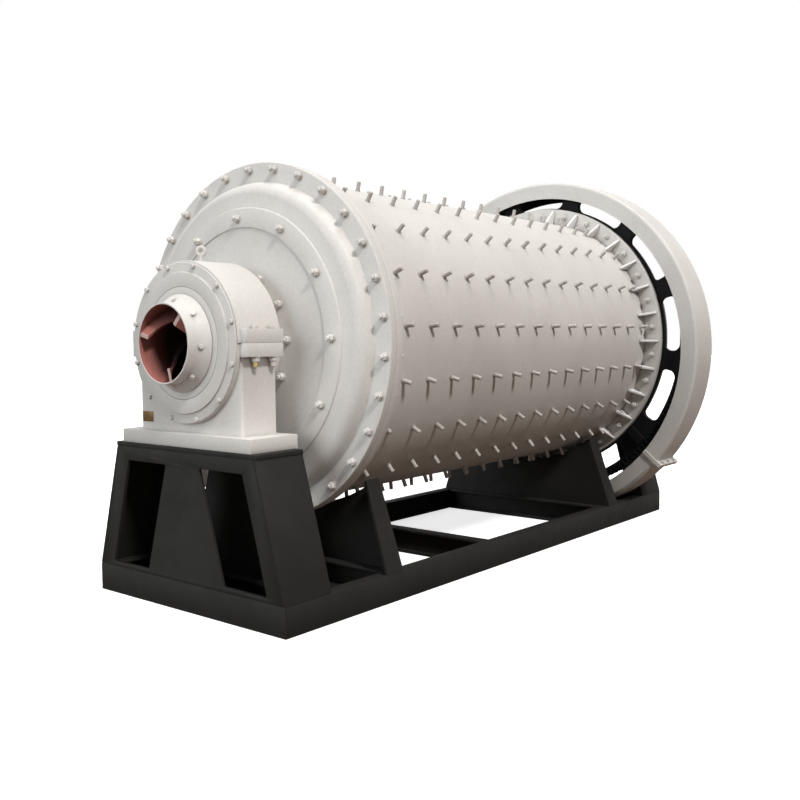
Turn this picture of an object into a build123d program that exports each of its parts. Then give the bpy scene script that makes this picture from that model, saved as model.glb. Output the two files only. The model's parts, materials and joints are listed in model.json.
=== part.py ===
"""Ball mill on its base frame: a turning drum in two pedestal bearings, with a girth gear in a guard.

Millimetres. X runs along the mill axis with the feed mouth at -X, Z is up, and the origin is on the
floor under the middle of the base frame.
"""
import os
from math import ceil, cos, degrees, hypot, radians, sin, sqrt

from build123d import *

# Drum
SHELL_RADIUS = 935
SHELL_WALL = 20
SHELL_HALF_LENGTH = 1570
FLANGE_THICKNESS = 48
FEED_FLANGE_RISE = 80
DRIVE_FLANGE_RISE = 125
WELD_GAP = 0.2
GUSSET_COUNT = 30
GUSSET_LENGTH = 100
GUSSET_REACH = 110
GUSSET_THICKNESS = 16
GUSSET_TIP = 12
GUSSET_ROOT = 1.5
GUSSET_PHASE = 1.4

# Shell liner with lifter bars under the bolt rows
LINER_THICKNESS = 45
LINER_END_GAP = 10
LIFTER_COUNT = 20
LIFTER_HEIGHT = 30
LIFTER_WIDTH = 90
LIFTER_ANGLE = 13

# Dished heads
HEAD_WALL = 50
HEAD_BORE_INSET = 60
KNUCKLE_INSET = 55
KNUCKLE_FOOT_INSET = 30
KNUCKLE_ROUND = 75
DISH_RISE = 56
HUB_BOSS = 37
BAND_INSET = 180
BAND_WIDTH = 110
BAND_RISE = 8

# Trunnions
JOURNAL_RADIUS = 300
JOURNAL_WALL = 60
JOURNAL_OVERHANG = 20
TRUNNION_FLANGE = 30
TRUNNION_FLANGE_RISE = 45

# Feed and discharge tubes
TUBE_GAP = 25
TUBE_WALL = 10
COLLAR_RISE = 47
COLLAR_RIM = 6
COLLAR_THICKNESS = 62
SPIGOT_LENGTH = 56
BLADE_COUNT = 3
BLADE_HEIGHT = 70
BLADE_THICKNESS = 20
BLADE_PITCH = 900
BLADE_SETBACK = 6
BLADE_PHASE = 14
BLADE_STATIONS = 14

# Girth gear, made in two halves that bolt together
MODULE = 14
DEDENDUM_SHARE = 1.25
TOOTH_GAP_SHARE = 0.36
TOOTH_FLANK_SHARE = 0.20
TOOTH_TIP_SHARE = 0.24
RIM_DEPTH = 22
GEAR_FACE = 188
WEB_THICKNESS = 40
WEB_REACH = 139
SLOTS_PER_HALF = 6
SLOT_PITCH = 28.5
SPOKE_WIDTH = 151
SLOT_INSET = 28
SLOT_RIM_STEP = 2
JOINT_ANGLE = 41.9
JOINT_THICKNESS = 64
JOINT_INSET = 11
JOINT_STAND_OUT = 30
JOINT_DEPTH = 140

# Pedestal bearings
BEARING_LENGTH = 290
BEARING_GAP = 25
BEARING_RISE = 557
RUNNING_GAP = 0.3
CAP_WALL = 140
CAP_BORE_GAP = 6
SEAL_GAP = 1
PEDESTAL_WALL = 130
PEDESTAL_INSET = 24
PEDESTAL_FILLET = 18
LUG_REACH = 50
LUG_THICKNESS = 72
LUG_INSET = 18
SOLE_REACH = 60
SOLE_THICKNESS = 75
SOLE_TOE_IN = 15
SOLE_TOE_OUT = 25
COVER_INSET = 10
COVER_THICKNESS = 10
COVER_STEP_RISE = 78
COVER_STEP = 10

# Base frame
BEAM_HEIGHT = 160
BEAM_WIDTH = 90
BEAM_WEB = 12
BEAM_FLANGE = 16
BEAM_CLEARANCE = 65
SADDLE_BEAM_WIDTH = 140
MID_BEAM_X = -320

# Bearing stands
STAND_REACH = 35
STAND_TOE = 5
STAND_CLEARANCE = 23
STAND_TOP_MARGIN = 40
STAND_PLATE = 20
STAND_TOP_PLATE = 25
STAND_TOP_LIP = 4
WINDOW_SILL = 22
WINDOW_HEAD = 78
WINDOW_LEG = 105
COLUMN_TOP_HALF_WIDTH = 140
COLUMN_FOOT_HALF_WIDTH = 320
WINDOW_FILLET = 12

# Saddle frames under the shell
SADDLE_SETBACK = 310
SADDLE_PLATE = 20
SADDLE_TOP_HALF_WIDTH = 607
SADDLE_GAP = 100
SADDLE_LEG_PLATE = 22
SADDLE_LEG_FOOT = 140
SADDLE_LEG_TOP = 112

# Gear guard
GUARD_DROP = 86
GUARD_CLEARANCE = 12
GUARD_DEPTH = 130
GUARD_FLOOR_GAP = 6
GUARD_NEAR_SIDE = 58
GUARD_FAR_SIDE = 54
GUARD_WALL = 7
GUARD_BEND = 25
GUARD_SPLIT = 40
EAR_THICKNESS = 14
EAR_REACH = 46
EAR_LIP = 12
BRACKET_THICKNESS = 16
BRACKET_INSET = 55
BRACKET_CLEAR = 10

# Radii that follow from the shell and the journals
shell_bore = SHELL_RADIUS - SHELL_WALL
flange_radius = {"feed": SHELL_RADIUS + FEED_FLANGE_RISE, "drive": SHELL_RADIUS + DRIVE_FLANGE_RISE}
knuckle_radius = SHELL_RADIUS - KNUCKLE_INSET
knuckle_foot = SHELL_RADIUS - KNUCKLE_FOOT_INSET
band_outer = SHELL_RADIUS - BAND_INSET
band_inner = band_outer - BAND_WIDTH
saddle_arc_radius = SHELL_RADIUS + SADDLE_GAP
hub_radius = JOURNAL_RADIUS + TRUNNION_FLANGE_RISE
journal_bore = JOURNAL_RADIUS - JOURNAL_WALL
tube_radius = journal_bore - TUBE_GAP
tube_bore = tube_radius - TUBE_WALL
collar_radius = tube_radius + COLLAR_RISE
cap_radius = JOURNAL_RADIUS + CAP_WALL
pedestal_half_width = JOURNAL_RADIUS + PEDESTAL_WALL
lug_half_width = pedestal_half_width + LUG_REACH
sole_half_width = lug_half_width + SOLE_REACH
cover_radius = cap_radius - COVER_INSET
cover_step_radius = JOURNAL_RADIUS + COVER_STEP_RISE
stand_top_half_width = sole_half_width + STAND_TOP_MARGIN

# The gear's rim clears the drive flange, the guard clears the gear, and the axis height clears the guard
teeth = ceil(2 * ((flange_radius["drive"] + WEB_REACH + RIM_DEPTH) / MODULE + DEDENDUM_SHARE))
pitch_radius = teeth * MODULE / 2
tip_radius = pitch_radius + MODULE
root_radius = pitch_radius - DEDENDUM_SHARE * MODULE
rim_inner = root_radius - RIM_DEPTH
guard_radius = tip_radius + GUARD_DROP + GUARD_CLEARANCE + GUARD_WALL
guard_inner_radius = guard_radius - GUARD_DEPTH
guard_height = GUARD_FLOOR_GAP + guard_radius
axis_height = guard_height + GUARD_DROP
stand_height = axis_height - BEARING_RISE
guard_half_chord = sqrt(guard_radius**2 - (guard_height - BEAM_HEIGHT) ** 2)
base_half_width = guard_half_chord + BEAM_CLEARANCE + BEAM_WIDTH

# Places along the mill, from the shell's end outwards
saddle_x = SHELL_HALF_LENGTH - SADDLE_SETBACK
guard_near = SHELL_HALF_LENGTH - GUARD_NEAR_SIDE
guard_far = SHELL_HALF_LENGTH + GEAR_FACE + GUARD_FAR_SIDE
stand_inner_face = guard_far + STAND_CLEARANCE
bearing_inner = stand_inner_face + STAND_TOE
bearing_outer = bearing_inner + BEARING_LENGTH
base_half_length = bearing_outer + STAND_REACH
flange_face = bearing_inner - BEARING_GAP
hub_face = flange_face - TRUNNION_FLANGE
journal_end = bearing_outer + JOURNAL_OVERHANG
collar_face = journal_end + COLLAR_THICKNESS
tube_mouth = collar_face + SPIGOT_LENGTH
tube_inner_end = hub_face - HEAD_WALL

os.makedirs("parts", exist_ok=True)

MILL_AXIS = Axis((0, 0, axis_height), (1, 0, 0))
GUARD_AXIS = Axis((0, 0, guard_height), (1, 0, 0))
END_SIGN = {"feed": -1, "drive": 1}
SIDE_SIGN = {"front": -1, "rear": 1}

DRIVE_HEAD_FACE = SHELL_HALF_LENGTH + WEB_THICKNESS
HEAD_FACE = {"feed": SHELL_HALF_LENGTH, "drive": DRIVE_HEAD_FACE}


def cross_plane(x, height=axis_height):
    """Plane across the mill at x: local x is world Y, local y is world Z above the given height."""
    return Plane(origin=(x, 0, height), x_dir=(0, 1, 0), z_dir=(1, 0, 0))


def radial_plane(angle, height=axis_height):
    """Plane through an axis along X: local x is world X, local y is the radius at that angle."""
    turn = radians(angle)
    return Plane(origin=(0, 0, height), x_dir=(1, 0, 0), z_dir=(0, -sin(turn), cos(turn)))


def write_node(builder, name):
    """Label a finished piece and write its file."""
    builder.part.label = name
    export_step(builder.part, f"parts/{name}.step")


def turned(points):
    """Ring turned about the mill axis from a closed outline of (x, radius) points."""
    with BuildPart() as ring:
        with BuildSketch(radial_plane(90)):
            with BuildLine():
                Polyline(*points, close=True)
            make_face()
        revolve(axis=MILL_AXIS)
    return ring


def tube(x_start, x_end, outer, inner):
    """Plain ring between two cross planes."""
    with BuildPart() as ring:
        with BuildSketch(cross_plane(x_start)):
            Circle(outer)
            Circle(inner, mode=Mode.SUBTRACT)
        extrude(amount=x_end - x_start)
    return ring


def side_line(height):
    """Half width of a stand's leaning sides at a height above the floor."""
    rise = (height - BEAM_HEIGHT) / (stand_height - BEAM_HEIGHT)
    return base_half_width - rise * (base_half_width - stand_top_half_width)


def both_sides(points):
    """Mirror a list of (half width, height) points to the full outline."""
    return points + [(-width, height) for width, height in reversed(points)]


# Drum shell and its two end flanges
shell = tube(-SHELL_HALF_LENGTH, SHELL_HALF_LENGTH, SHELL_RADIUS, shell_bore)
write_node(shell, "shell")

flange_root = SHELL_HALF_LENGTH - FLANGE_THICKNESS
feed_shell_flange = tube(-SHELL_HALF_LENGTH, -flange_root, flange_radius["feed"], SHELL_RADIUS + WELD_GAP)
write_node(feed_shell_flange, "feed_shell_flange")

gusset_foot = SHELL_RADIUS + WELD_GAP + GUSSET_ROOT
gusset_planes = [radial_plane(GUSSET_PHASE + index * 360 / GUSSET_COUNT) for index in range(GUSSET_COUNT)]
with BuildPart() as drive_shell_flange:
    with BuildSketch(cross_plane(flange_root)):
        Circle(flange_radius["drive"])
        Circle(SHELL_RADIUS + WELD_GAP, mode=Mode.SUBTRACT)
    extrude(amount=FLANGE_THICKNESS)
    with BuildSketch(*gusset_planes):
        with BuildLine():
            Polyline(
                (flange_root, gusset_foot),
                (flange_root - GUSSET_LENGTH, gusset_foot),
                (flange_root - GUSSET_LENGTH, gusset_foot + GUSSET_TIP),
                (flange_root - GUSSET_TIP, gusset_foot + GUSSET_REACH),
                (flange_root, gusset_foot + GUSSET_REACH),
                close=True,
            )
        make_face()
    extrude(amount=GUSSET_THICKNESS / 2, both=True)
write_node(drive_shell_flange, "drive_shell_flange")


liner_radius = shell_bore - WELD_GAP
liner_bore = liner_radius - LINER_THICKNESS
with BuildPart() as shell_liner:
    with BuildSketch(cross_plane(LINER_END_GAP - SHELL_HALF_LENGTH)):
        Circle(liner_radius)
        Circle(liner_bore, mode=Mode.SUBTRACT)
        with PolarLocations(liner_bore, LIFTER_COUNT, start_angle=LIFTER_ANGLE):
            Rectangle(2 * LIFTER_HEIGHT, LIFTER_WIDTH)
    extrude(amount=2 * (SHELL_HALF_LENGTH - LINER_END_GAP))
write_node(shell_liner, "shell_liner")


# Dished heads: a flat dish behind a rounded knuckle, with a raised band for the liner bolts
def head_outline(end):
    """Section of a head as (x, radius) points, and the knuckle's corner among them."""
    sign = END_SIGN[end]
    face = HEAD_FACE[end]
    hub_out = hub_face - face
    dish_out = hub_out - HUB_BOSS
    slope = DISH_RISE / (knuckle_radius - hub_radius)

    def dish(radius):
        return dish_out - slope * (radius - hub_radius)

    outside = [
        (FLANGE_THICKNESS, flange_radius[end]),
        (FLANGE_THICKNESS, knuckle_foot),
        (dish(knuckle_radius), knuckle_radius),
        (dish(band_outer), band_outer),
        (dish(band_outer) + BAND_RISE, band_outer),
        (dish(band_inner) + BAND_RISE, band_inner),
        (dish(band_inner), band_inner),
        (dish_out, hub_radius),
        (hub_out, hub_radius),
        (hub_out, journal_bore),
    ]
    inner_corner = knuckle_radius - HEAD_WALL
    inside = [
        (dish(journal_bore) - HEAD_WALL, journal_bore),
        (dish(inner_corner) - HEAD_WALL, inner_corner),
        (0, shell_bore - HEAD_BORE_INSET),
        (0, flange_radius[end]),
    ]
    points = [(sign * (face + out), radius) for out, radius in outside + inside]
    return points, points[2]


for end in END_SIGN:
    points, knuckle = head_outline(end)
    knuckle_wall = abs(knuckle[0]) - HEAD_FACE[end] - FLANGE_THICKNESS
    with BuildPart() as head:
        with BuildSketch(radial_plane(90)) as section:
            with BuildLine():
                Polyline(*points, close=True)
            make_face()
            fillet(section.vertices().sort_by_distance(knuckle)[0], min(KNUCKLE_ROUND, knuckle_wall))
        revolve(axis=MILL_AXIS)
    write_node(head, f"{end}_head")

# Trunnions: hollow journals bolted to the hubs by a flange
for end, sign in END_SIGN.items():
    trunnion = turned([
        (sign * hub_face, journal_bore),
        (sign * hub_face, hub_radius),
        (sign * flange_face, hub_radius),
        (sign * flange_face, JOURNAL_RADIUS),
        (sign * journal_end, JOURNAL_RADIUS),
        (sign * journal_end, journal_bore),
    ])
    write_node(trunnion, f"{end}_trunnion")

# Feed and discharge tubes: liners held on the journal ends by a conical collar
for end, sign in END_SIGN.items():
    name = "feed_tube" if end == "feed" else "discharge_tube"
    liner = turned([
        (sign * tube_inner_end, tube_bore),
        (sign * tube_inner_end, tube_radius),
        (sign * journal_end, tube_radius),
        (sign * journal_end, collar_radius),
        (sign * (journal_end + COLLAR_RIM), collar_radius),
        (sign * collar_face, tube_radius),
        (sign * tube_mouth, tube_radius),
        (sign * tube_mouth, tube_bore),
    ])
    write_node(liner, name)

# Spiral blades that carry the feed through the tube
blade_start = -tube_mouth + BLADE_SETBACK
blade_run = -tube_inner_end - blade_start
blade_turn = blade_run / BLADE_PITCH * 360
blade_edge = sqrt((tube_bore - WELD_GAP) ** 2 - (BLADE_THICKNESS / 2) ** 2)
with BuildPart() as feed_spiral:
    for blade in range(BLADE_COUNT):
        for station in range(BLADE_STATIONS + 1):
            share = station / BLADE_STATIONS
            turn = BLADE_PHASE + blade * 360 / BLADE_COUNT + share * blade_turn
            with BuildSketch(cross_plane(blade_start + share * blade_run)):
                with PolarLocations(blade_edge - BLADE_HEIGHT / 2, 1, start_angle=turn):
                    Rectangle(BLADE_HEIGHT, BLADE_THICKNESS)
        loft(ruled=True)
write_node(feed_spiral, "feed_spiral")

# Girth gear: toothed rim on a slotted web that the drive flanges clamp
tooth_step = 360 / teeth
slot_inner = flange_radius["drive"] + SLOT_INSET
slot_outer = rim_inner - SLOT_RIM_STEP
slot_middle = (slot_inner + slot_outer) / 2
slot_width = slot_outer - slot_inner
slot_span = SLOT_PITCH - degrees((SPOKE_WIDTH + slot_width) / slot_middle)
first_slot = 90 - (SLOTS_PER_HALF - 1) / 2 * SLOT_PITCH
slot_line = CenterArc((0, 0), slot_middle, -slot_span / 2, slot_span)
slot_angles = [JOINT_ANGLE + first_slot + index * SLOT_PITCH for index in range(SLOTS_PER_HALF)]
joint_inner = flange_radius["drive"] + JOINT_INSET
joint_outer = rim_inner + RIM_DEPTH / 2


def tooth_points():
    """Outline of all teeth: root, flank, tip and flank of each, by their share of the pitch."""
    tip_start = TOOTH_GAP_SHARE + TOOTH_FLANK_SHARE
    tip_end = tip_start + TOOTH_TIP_SHARE
    root = [(0, root_radius), (TOOTH_GAP_SHARE, root_radius)]
    tip = [(tip_start, tip_radius), (tip_end, tip_radius)]
    points = []
    for tooth in range(teeth):
        for share, radius in root + tip:
            turn = radians((tooth + share) * tooth_step)
            points.append((radius * cos(turn), radius * sin(turn)))
    return points


with BuildPart() as girth_gear:
    with BuildSketch(cross_plane(SHELL_HALF_LENGTH)):
        with BuildLine():
            Polyline(*tooth_points(), close=True)
        make_face()
        Circle(rim_inner, mode=Mode.SUBTRACT)
    extrude(amount=GEAR_FACE)
    with BuildSketch(cross_plane(SHELL_HALF_LENGTH)):
        Circle(rim_inner)
        Circle(shell_bore, mode=Mode.SUBTRACT)
    extrude(amount=WEB_THICKNESS)
    with BuildSketch(cross_plane(SHELL_HALF_LENGTH)):
        for angle in slot_angles:
            with PolarLocations(0, 2, start_angle=angle):
                SlotArc(slot_line, slot_width)
    extrude(amount=WEB_THICKNESS, mode=Mode.SUBTRACT)
    with BuildSketch(cross_plane(SHELL_HALF_LENGTH - JOINT_STAND_OUT)):
        with PolarLocations((joint_inner + joint_outer) / 2, 2, start_angle=JOINT_ANGLE):
            Rectangle(joint_outer - joint_inner, JOINT_THICKNESS)
    extrude(amount=JOINT_STAND_OUT + JOINT_DEPTH)
write_node(girth_gear, "girth_gear")


# Pedestal bearings, split on the mill axis
def bearing_span(end, inner, outer):
    """Start plane and length of a bearing piece between two distances from the middle."""
    start = -outer if end == "feed" else inner
    return start, outer - inner


sole_bottom = stand_height
sole_top = stand_height + SOLE_THICKNESS
for end in END_SIGN:
    start, length = bearing_span(end, bearing_inner, bearing_outer)
    pedestal_outer = bearing_outer - PEDESTAL_INSET
    pedestal_start, pedestal_length = bearing_span(end, bearing_inner + PEDESTAL_INSET, pedestal_outer)
    seat_start, seat_length = bearing_span(end, pedestal_outer, bearing_outer)
    lug_start, lug_length = bearing_span(end, bearing_inner + LUG_INSET, bearing_outer - LUG_INSET)
    sole_start, sole_length = bearing_span(end, bearing_inner - SOLE_TOE_IN, bearing_outer + SOLE_TOE_OUT)

    with BuildPart() as bearing_pedestal:
        with BuildSketch(cross_plane(pedestal_start, 0)):
            with Locations((0, (sole_top + axis_height) / 2)):
                Rectangle(2 * pedestal_half_width, axis_height - sole_top)
        extrude(amount=pedestal_length)
        fillet(bearing_pedestal.edges().filter_by(Axis.Z), PEDESTAL_FILLET)
        with BuildSketch(cross_plane(seat_start)):
            Circle(cover_radius)
            with Locations((0, cover_radius / 2)):
                Rectangle(2 * cover_radius, cover_radius, mode=Mode.SUBTRACT)
        extrude(amount=seat_length)
        with BuildSketch(cross_plane(lug_start, 0)):
            with Locations((0, axis_height - LUG_THICKNESS / 2)):
                Rectangle(2 * lug_half_width, LUG_THICKNESS)
        extrude(amount=lug_length)
        with BuildSketch(cross_plane(sole_start, 0)):
            with Locations((0, (sole_bottom + sole_top) / 2)):
                Rectangle(2 * sole_half_width, SOLE_THICKNESS)
        extrude(amount=sole_length)
        with BuildSketch(cross_plane(sole_start)):
            Circle(JOURNAL_RADIUS + RUNNING_GAP)
        extrude(amount=sole_length, mode=Mode.SUBTRACT)
    write_node(bearing_pedestal, f"{end}_bearing_pedestal")

    with BuildPart() as bearing_cap:
        with BuildSketch(cross_plane(start)):
            Circle(cap_radius)
            with Locations((0, -cap_radius / 2)):
                Rectangle(2 * cap_radius, cap_radius, mode=Mode.SUBTRACT)
        extrude(amount=length)
        with BuildSketch(cross_plane(lug_start)):
            with Locations((0, LUG_THICKNESS / 2)):
                Rectangle(2 * lug_half_width, LUG_THICKNESS)
        extrude(amount=lug_length)
        with BuildSketch(cross_plane(start)):
            Circle(JOURNAL_RADIUS + CAP_BORE_GAP)
        extrude(amount=length, mode=Mode.SUBTRACT)
    write_node(bearing_cap, f"{end}_bearing_cap")

    sign = END_SIGN[end]
    cover_face = bearing_outer + COVER_THICKNESS
    cover_bore = JOURNAL_RADIUS + SEAL_GAP
    bearing_cover = turned([
        (sign * bearing_outer, cover_bore),
        (sign * bearing_outer, cover_radius),
        (sign * cover_face, cover_radius),
        (sign * cover_face, cover_step_radius),
        (sign * (cover_face + COVER_STEP), cover_step_radius),
        (sign * (cover_face + COVER_STEP), cover_bore),
    ])
    write_node(bearing_cover, f"{end}_bearing_cover")

# Base frame: channels with their webs outward, mitred at the corners
channel_points = [
    (0, 0),
    (BEAM_WIDTH, 0),
    (BEAM_WIDTH, BEAM_FLANGE),
    (BEAM_WEB, BEAM_FLANGE),
    (BEAM_WEB, BEAM_HEIGHT - BEAM_FLANGE),
    (BEAM_WIDTH, BEAM_HEIGHT - BEAM_FLANGE),
    (BEAM_WIDTH, BEAM_HEIGHT),
    (0, BEAM_HEIGHT),
]


def channel(corner, along, inward, length):
    """Channel from a frame corner: its web on the outer line, both ends mitred at 45 degrees."""
    outer = Vector(*corner)
    run = Vector(*along)
    depth = Vector(*inward)
    with BuildPart() as beam:
        with BuildSketch(Plane(origin=outer, x_dir=depth, z_dir=depth.cross(Vector(0, 0, 1)))):
            with BuildLine():
                Polyline(*channel_points, close=True)
            make_face()
        extrude(amount=length * run.dot(depth.cross(Vector(0, 0, 1))))
        split(bisect_by=Plane(origin=outer, x_dir=(0, 0, 1), z_dir=run - depth), keep=Keep.TOP)
        far_corner = outer + run * length
        split(bisect_by=Plane(origin=far_corner, x_dir=(0, 0, 1), z_dir=run + depth), keep=Keep.BOTTOM)
    return beam


for side, sign in SIDE_SIGN.items():
    corner = (-base_half_length, sign * base_half_width, 0)
    long_beam = channel(corner, (1, 0, 0), (0, -sign, 0), 2 * base_half_length)
    write_node(long_beam, f"{side}_long_beam")
for end, sign in END_SIGN.items():
    corner = (sign * base_half_length, -base_half_width, 0)
    end_beam = channel(corner, (0, 1, 0), (-sign, 0, 0), 2 * base_half_width)
    write_node(end_beam, f"{end}_end_beam")


def cross_beam(x_middle, width):
    """Rolled I section between the long beams."""
    web_out = width / 2
    half_web = BEAM_WEB / 2
    right = [
        (web_out, 0),
        (web_out, BEAM_FLANGE),
        (half_web, BEAM_FLANGE),
        (half_web, BEAM_HEIGHT - BEAM_FLANGE),
        (web_out, BEAM_HEIGHT - BEAM_FLANGE),
        (web_out, BEAM_HEIGHT),
    ]
    with BuildPart() as beam:
        with BuildSketch(Plane(origin=(x_middle, 0, 0), x_dir=(1, 0, 0), z_dir=(0, -1, 0))):
            with BuildLine():
                Polyline(*both_sides(right), close=True)
            make_face()
        extrude(amount=base_half_width - BEAM_WIDTH, both=True)
    return beam


stand_beam_x = stand_inner_face + BEAM_WIDTH / 2
for end, sign in END_SIGN.items():
    write_node(cross_beam(sign * stand_beam_x, BEAM_WIDTH), f"{end}_stand_beam")
    write_node(cross_beam(sign * saddle_x, SADDLE_BEAM_WIDTH), f"{end}_saddle_beam")
write_node(cross_beam(MID_BEAM_X, BEAM_WIDTH), "mid_beam")

# Bearing stands: two windowed panels, two leaning side plates and a top plate
panel_top = stand_height - STAND_TOP_PLATE
lean = (base_half_width - stand_top_half_width) / (stand_height - BEAM_HEIGHT)
plate_across = STAND_PLATE * hypot(1, lean)
window_bottom = BEAM_HEIGHT + WINDOW_SILL
window_top = panel_top - WINDOW_HEAD


def stand_panel(x_start):
    """Trapezoid panel with a leaning window each side of a column that widens to its foot."""
    with BuildPart() as panel:
        with BuildSketch(cross_plane(x_start, 0)):
            with BuildLine():
                Polyline(
                    *both_sides([
                        (side_line(BEAM_HEIGHT) - plate_across, BEAM_HEIGHT),
                        (side_line(panel_top) - plate_across, panel_top),
                    ]),
                    close=True,
                )
            make_face()
        extrude(amount=STAND_PLATE)
        with BuildSketch(cross_plane(x_start, 0)) as windows:
            for sign in SIDE_SIGN.values():
                with BuildLine():
                    Polyline(
                        (sign * COLUMN_FOOT_HALF_WIDTH, window_bottom),
                        (sign * (side_line(window_bottom) - plate_across - WINDOW_LEG), window_bottom),
                        (sign * (side_line(window_top) - plate_across - WINDOW_LEG), window_top),
                        (sign * COLUMN_TOP_HALF_WIDTH, window_top),
                        close=True,
                    )
                make_face()
            fillet(windows.vertices(), WINDOW_FILLET)
        extrude(amount=STAND_PLATE, mode=Mode.SUBTRACT)
    return panel


def stand_side(x_start, length, sign):
    """Leaning side plate from the long beam up to the top plate."""
    with BuildPart() as plate:
        with BuildSketch(cross_plane(x_start, 0)):
            with BuildLine():
                Polyline(
                    (sign * side_line(BEAM_HEIGHT), BEAM_HEIGHT),
                    (sign * side_line(panel_top), panel_top),
                    (sign * (side_line(panel_top) - plate_across), panel_top),
                    (sign * (side_line(BEAM_HEIGHT) - plate_across), BEAM_HEIGHT),
                    close=True,
                )
            make_face()
        extrude(amount=length)
    return plate


for end in END_SIGN:
    start, length = bearing_span(end, stand_inner_face, base_half_length)
    outer_x = start if end == "feed" else start + length - STAND_PLATE
    inner_x = start + length - STAND_PLATE if end == "feed" else start
    write_node(stand_panel(outer_x), f"{end}_stand_outer_panel")
    write_node(stand_panel(inner_x), f"{end}_stand_inner_panel")
    for side, sign in SIDE_SIGN.items():
        write_node(stand_side(start, length, sign), f"{end}_stand_{side}_side")
    with BuildPart() as stand_top:
        with BuildSketch(Plane.XY.offset(panel_top)):
            with Locations((start + length / 2, 0)):
                Rectangle(length, 2 * (side_line(panel_top) + STAND_TOP_LIP))
        extrude(amount=STAND_TOP_PLATE)
    write_node(stand_top, f"{end}_stand_top")

# Saddle frames: a plate cut to the drum with a leaning leg along each edge
saddle_corner = axis_height - sqrt(saddle_arc_radius**2 - SADDLE_TOP_HALF_WIDTH**2)
saddle_lean = (base_half_width - SADDLE_TOP_HALF_WIDTH) / (saddle_corner - BEAM_HEIGHT)
leg_across = SADDLE_LEG_PLATE * hypot(1, saddle_lean)
for end, sign in END_SIGN.items():
    plate_start = sign * saddle_x - SADDLE_PLATE / 2
    leg_root = sign * saddle_x - sign * SADDLE_PLATE / 2
    with BuildPart() as saddle:
        with BuildSketch(cross_plane(leg_root, 0)):
            for side in SIDE_SIGN.values():
                with BuildLine():
                    Polyline(
                        (side * base_half_width, BEAM_HEIGHT),
                        (side * SADDLE_TOP_HALF_WIDTH, saddle_corner),
                        (side * (SADDLE_TOP_HALF_WIDTH - leg_across), saddle_corner),
                        (side * (base_half_width - leg_across), BEAM_HEIGHT),
                        close=True,
                    )
                make_face()
        extrude(amount=sign * SADDLE_LEG_FOOT)
        with BuildSketch(Plane(origin=(leg_root, 0, 0), x_dir=(1, 0, 0), z_dir=(0, -1, 0))):
            with BuildLine():
                Polyline(
                    (0, BEAM_HEIGHT),
                    (sign * SADDLE_LEG_FOOT, BEAM_HEIGHT),
                    (sign * SADDLE_LEG_TOP, saddle_corner),
                    (0, saddle_corner),
                    close=True,
                )
            make_face()
        extrude(amount=base_half_width, both=True, mode=Mode.INTERSECT)
        with BuildSketch(cross_plane(plate_start, 0)):
            with BuildLine():
                Polyline(
                    *both_sides([(base_half_width, BEAM_HEIGHT), (SADDLE_TOP_HALF_WIDTH, saddle_corner)]),
                    close=True,
                )
            make_face()
        extrude(amount=SADDLE_PLATE)
        with BuildSketch(cross_plane(plate_start)):
            Circle(saddle_arc_radius)
        extrude(amount=SADDLE_LEG_FOOT, both=True, mode=Mode.SUBTRACT)
    write_node(saddle, f"{end}_saddle")


# Gear guard: a channel bent round the gear, split into a hood and a trough with bolted ears
inner_near = guard_near + GUARD_WALL
inner_far = guard_far - GUARD_WALL
inner_top = guard_radius - GUARD_WALL


def bent_section(plane, near, far, top, outer_bend=0):
    """Section of the guard between its bent inside and an outer outline with corners of a given bend."""
    inner_bend = GUARD_BEND - GUARD_WALL
    bends = {(inner_near, inner_top): inner_bend, (inner_far, inner_top): inner_bend}
    if outer_bend:
        bends.update({(near, top): outer_bend, (far, top): outer_bend})
    with BuildSketch(plane) as section:
        with BuildLine():
            Polyline(
                (near, guard_inner_radius),
                (near, top),
                (far, top),
                (far, guard_inner_radius),
                (inner_far, guard_inner_radius),
                (inner_far, inner_top),
                (inner_near, inner_top),
                (inner_near, guard_inner_radius),
                close=True,
            )
        make_face()
        for corner, bend in bends.items():
            fillet(section.vertices().sort_by_distance(corner)[0], bend)
    return section.sketch


def guard_piece(start_angle, sweep_angle):
    """Stretch of the guard's channel with an ear plate at each end."""
    start_plane = radial_plane(start_angle, guard_height)
    channel_face = bent_section(start_plane, guard_near, guard_far, guard_radius, GUARD_BEND)
    with BuildPart() as piece:
        revolve(channel_face, axis=GUARD_AXIS, revolution_arc=sweep_angle)
        for angle, direction in ((start_angle, 1), (start_angle + sweep_angle, -1)):
            plane = radial_plane(angle, guard_height)
            ear_top = guard_radius + EAR_REACH
            ear_face = bent_section(plane, guard_near - EAR_LIP, guard_far + EAR_LIP, ear_top)
            extrude(ear_face, amount=EAR_THICKNESS, dir=plane.z_dir * direction)
    return piece


hood_sweep = 180 + 2 * GUARD_SPLIT
write_node(guard_piece(-GUARD_SPLIT, hood_sweep), "guard_hood")
write_node(guard_piece(180 + GUARD_SPLIT, 360 - hood_sweep), "guard_trough")

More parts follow.
